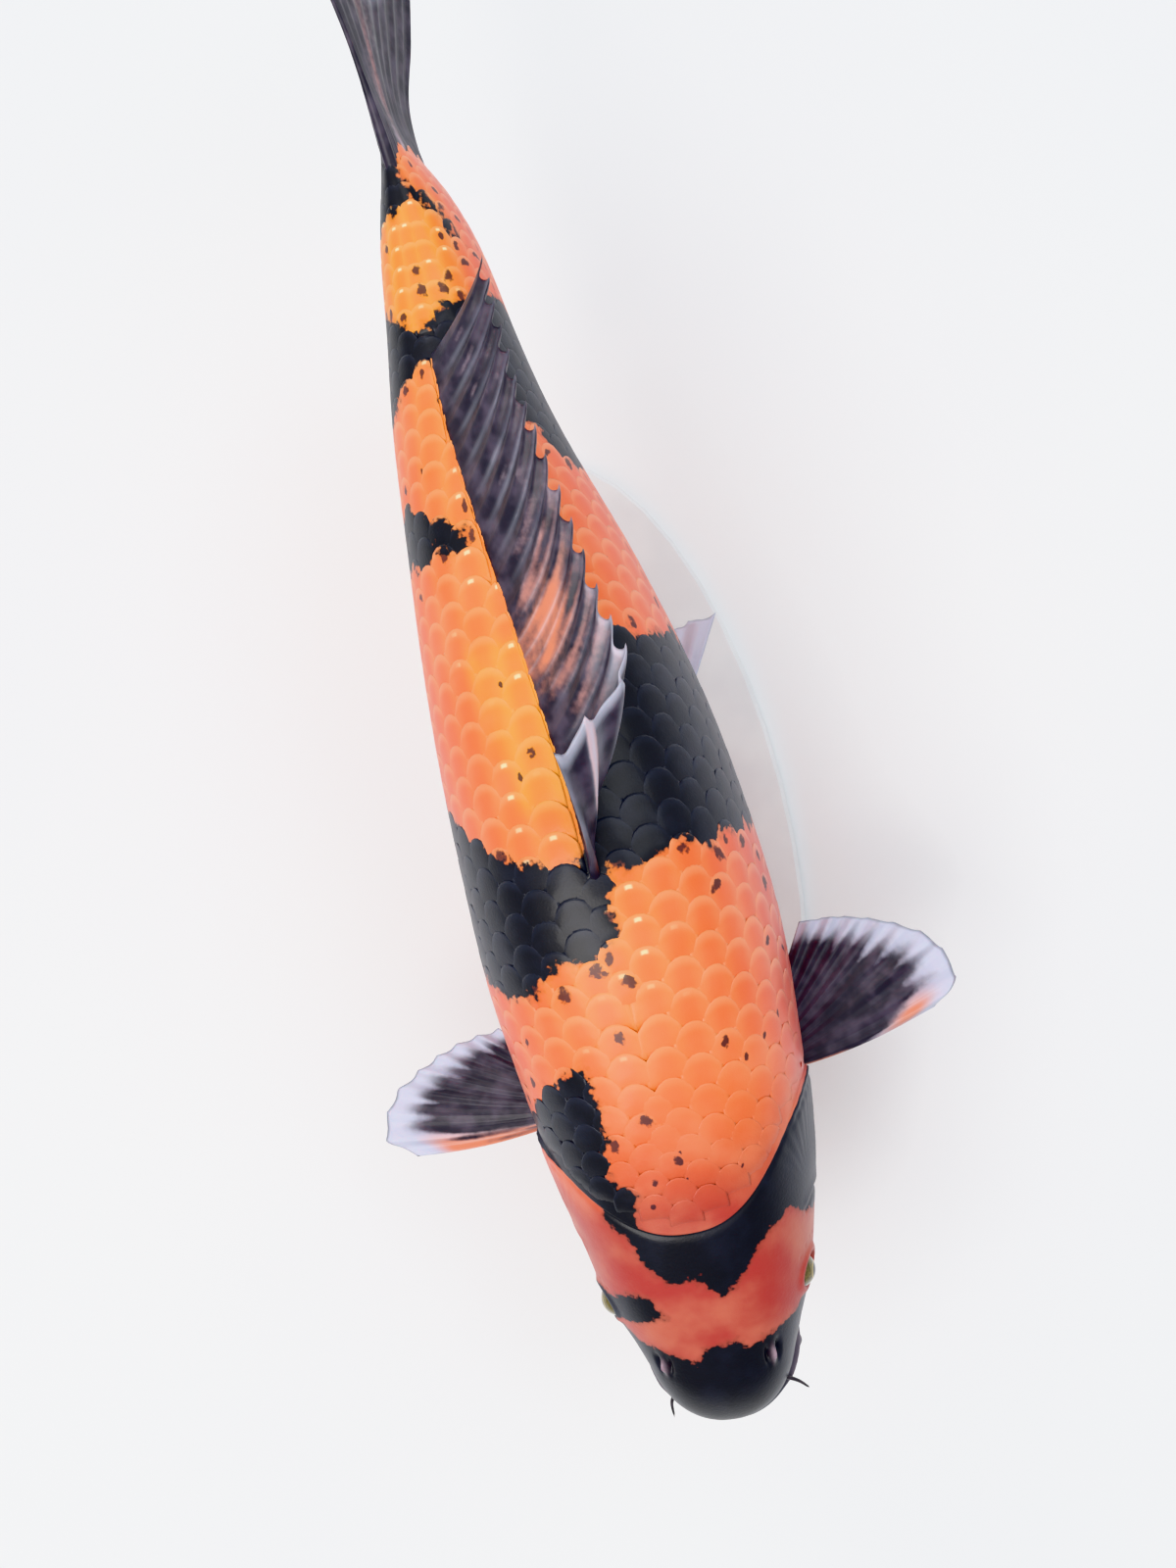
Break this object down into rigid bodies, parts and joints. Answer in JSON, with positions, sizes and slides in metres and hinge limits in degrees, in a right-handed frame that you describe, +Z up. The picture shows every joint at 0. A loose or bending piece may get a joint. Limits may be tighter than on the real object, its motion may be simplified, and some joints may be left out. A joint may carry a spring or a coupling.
{
  "type": "koi carp display model",
  "caption": "Life-size still model of a koi carp with orange and black markings, held over a flat oval base by two short rods.",
  "frame": {"origin": "centre of the underside of the stand's base", "axes": "+Z up; -Y the way the fish faces, so +Y runs from head to tail; +X the fish's left side"},
  "size_m": [0.236, 0.6053, 0.2536],
  "materials": {
    "fish_skin": "painted cast resin with scales, orange with black patches, satin to wet gloss",
    "fin": "thin cast resin with rays, smoky black to milky at the rim",
    "eye": "clear gloss over a brassy iris and black pupil",
    "stand_base": "satin pale grey paint",
    "stand_rod": "brushed"
  },
  "bodies": {
    "root": {"trunk_front": "fish_skin", "trunk_middle": "fish_skin", "trunk_rear": "fish_skin", "tail_stalk": "fish_skin", "head": "fish_skin", "gill_cover_left": "fish_skin", "gill_cover_right": "fish_skin", "eye_left": "eye", "eye_right": "eye", "nostril_flap_left": "fish_skin", "nostril_flap_right": "fish_skin", "lower_jaw": "fish_skin", "upper_lip": "fish_skin", "snout_barbel_left": "fish_skin", "snout_barbel_right": "fish_skin", "mouth_barbel_left": "fish_skin", "mouth_barbel_right": "fish_skin", "dorsal_fin": "fin", "anal_fin": "fin", "pectoral_fin_left": "fin", "pectoral_fin_right": "fin", "pelvic_fin_left": "fin", "pelvic_fin_right": "fin", "tail_fin_upper_lobe": "fin", "tail_fin_lower_lobe": "fin", "stand_base": "stand_base", "stand_rod_front": "stand_rod", "stand_rod_rear": "stand_rod"}
  },
  "joints": []
}
